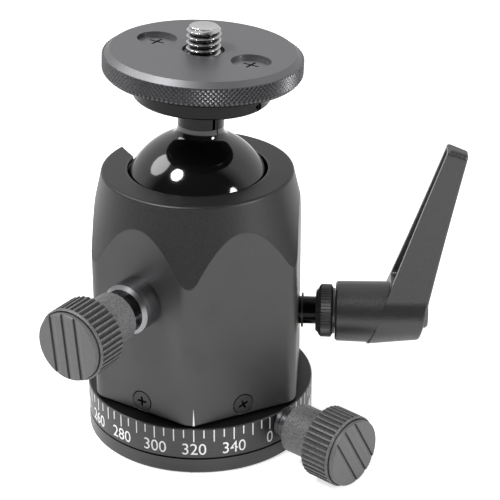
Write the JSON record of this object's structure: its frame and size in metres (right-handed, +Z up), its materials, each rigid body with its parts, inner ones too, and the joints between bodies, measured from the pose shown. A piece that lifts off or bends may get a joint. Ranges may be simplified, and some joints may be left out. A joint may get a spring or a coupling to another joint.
{
  "type": "tripod ball head",
  "caption": "Ball head that clamps a camera platform on a tripod, with clamp lever, friction and pan lock knobs, degree ring and a portrait notch.",
  "frame": {"origin": "centre of the base's lower face, at the mouth of the tripod socket", "axes": "+Z up out of the tripod, +X out along the clamp lever's spindle, +Y away from the friction knob's side"},
  "size_m": [0.107, 0.0848, 0.1147],
  "materials": {
    "base_plate": "dark grey anodised, turned",
    "base_screws": "black oxide steel, machined",
    "scale_ring": "black anodised with white engraved scale",
    "bearing_washer": "natural acetal",
    "pan_retainer": "turned, bare",
    "retainer_screws": "black oxide steel, machined",
    "pan_lock_collar": "dark polished",
    "housing": "dark grey satin anodised aluminium",
    "housing_screws": "black oxide steel, machined",
    "pan_spigot": "dark grey satin anodised aluminium",
    "seat_ring": "black acetal",
    "wedge_guide": "machined",
    "spindle_bush": "machined",
    "friction_bush": "dark polished",
    "clamp_spindle": "black oxide steel, ground",
    "spindle_washer": "black acetal",
    "lever_insert": "black anodised, fine straight knurl",
    "lever_screw": "black oxide steel, machined",
    "lever_spring": "spring steel",
    "clamp_lever": "dark grey textured powder coat on cast zinc",
    "clamp_wedge": "hardened and ground",
    "lower_cup": "black acetal",
    "disc_spring": "spring steel",
    "wedge_lifter": "machined",
    "friction_screw": "machined",
    "friction_knob": "grey moulded nylon, fine grain",
    "friction_cap": "grey moulded nylon, fine grain",
    "friction_plunger": "machined",
    "pan_lock_screw": "polished steel",
    "pan_lock_knob": "grey moulded nylon, fine grain",
    "pan_lock_cap": "grey moulded nylon, fine grain",
    "pan_brake_shoe": "natural acetal",
    "ball": "black hard anodised, fine turned and polished",
    "stem_bolt": "machined",
    "neck_sleeve": "black anodised, polished",
    "platform_flange": "black anodised, turned",
    "flange_grub_screw": "black oxide steel",
    "camera_plate": "dark grey satin anodised, knurled edge",
    "platform_screws": "dark nickel plated, machined",
    "camera_stud": "bright stainless, machined thread"
  },
  "bodies": {
    "base": {"base_plate": "base_plate", "base_screws": "base_screws", "scale_ring": "scale_ring", "bearing_washer": "bearing_washer", "pan_retainer": "pan_retainer", "retainer_screws": "retainer_screws", "pan_lock_collar": "pan_lock_collar"},
    "housing": {"housing": "housing", "housing_screws": "housing_screws", "pan_spigot": "pan_spigot", "seat_ring": "seat_ring", "wedge_guide": "wedge_guide", "spindle_bush": "spindle_bush", "friction_bush": "friction_bush"},
    "spindle": {"clamp_spindle": "clamp_spindle", "spindle_washer": "spindle_washer", "lever_insert": "lever_insert", "lever_screw": "lever_screw", "lever_spring": "lever_spring"},
    "lever": {"clamp_lever": "clamp_lever"},
    "wedge": {"clamp_wedge": "clamp_wedge"},
    "cup": {"lower_cup": "lower_cup", "disc_spring": "disc_spring", "wedge_lifter": "wedge_lifter"},
    "friction_knob": {"friction_screw": "friction_screw", "friction_knob": "friction_knob", "friction_cap": "friction_cap"},
    "friction_plunger": {"friction_plunger": "friction_plunger"},
    "pan_lock_knob": {"pan_lock_screw": "pan_lock_screw", "pan_lock_knob": "pan_lock_knob", "pan_lock_cap": "pan_lock_cap"},
    "pan_brake": {"pan_brake_shoe": "pan_brake_shoe"},
    "ball": {"ball": "ball"},
    "platform": {"stem_bolt": "stem_bolt", "neck_sleeve": "neck_sleeve", "platform_flange": "platform_flange", "flange_grub_screw": "flange_grub_screw", "camera_plate": "camera_plate", "platform_screws": "platform_screws", "camera_stud": "camera_stud"}
  },
  "joints": [
    {"name": "pan", "type": "hinge", "parent": "base", "child": "housing", "pos_m": [0, 0, 0.014], "axis": [0, 0, 1], "continuous": true},
    {"name": "lever_turn", "type": "hinge", "parent": "housing", "child": "spindle", "pos_m": [0.03, 0, 0.034], "axis": [1, 0, 0], "range_deg": [0, 110]},
    {"name": "lever_lift", "type": "slide", "parent": "spindle", "child": "lever", "axis": [1, 0, 0], "range_m": [0, 0.004], "stiffness_N_per_m": 1500, "springref_m": -0.003, "deforming": ["lever_spring"]},
    {"name": "wedge_draw", "type": "slide", "parent": "housing", "child": "wedge", "axis": [1, 0, 0], "range_m": [-0.001, 0]},
    {"name": "cup_clamp", "type": "slide", "parent": "housing", "child": "cup", "axis": [0, 0, 1], "range_m": [-0.0002, 0]},
    {"name": "friction_turn", "type": "hinge", "parent": "housing", "child": "friction_knob", "pos_m": [-0.02, -0.03464, 0.0476], "axis": [-0.5, -0.866, 0], "range_deg": [-270, 0]},
    {"name": "friction_press", "type": "slide", "parent": "housing", "child": "friction_plunger", "axis": [-0.5, -0.866, 0], "range_m": [-0.0005, 0]},
    {"name": "pan_lock_turn", "type": "hinge", "parent": "base", "child": "pan_lock_knob", "pos_m": [0.0313, -0.0249, 0.0101], "axis": [0.7826, -0.6225, 0], "range_deg": [-180, 0]},
    {"name": "pan_brake_press", "type": "slide", "parent": "base", "child": "pan_brake", "axis": [0.7826, -0.6225, 0], "range_m": [-0.0003, 0]},
    {"name": "ball_tilt", "type": "hinge", "parent": "housing", "child": "ball", "pos_m": [0, 0, 0.0658], "axis": [-0.866, -0.5, 0], "range_deg": [-42, 88]},
    {"name": "ball_turn", "type": "hinge", "parent": "ball", "child": "platform", "pos_m": [0.00086, 0.00039, 0.08578], "axis": [0.043, 0.0197, 0.9989], "continuous": true}
  ],
  "couplings": [
    {"joint": "wedge_draw", "follows": "lever_turn", "m_per_rad": -0.00047746},
    {"joint": "cup_clamp", "follows": "lever_turn", "m_per_rad": -0.000066845},
    {"joint": "friction_press", "follows": "friction_turn", "m_per_rad": 0.000106},
    {"joint": "pan_brake_press", "follows": "pan_lock_turn", "m_per_rad": 0.0000954}
  ]
}
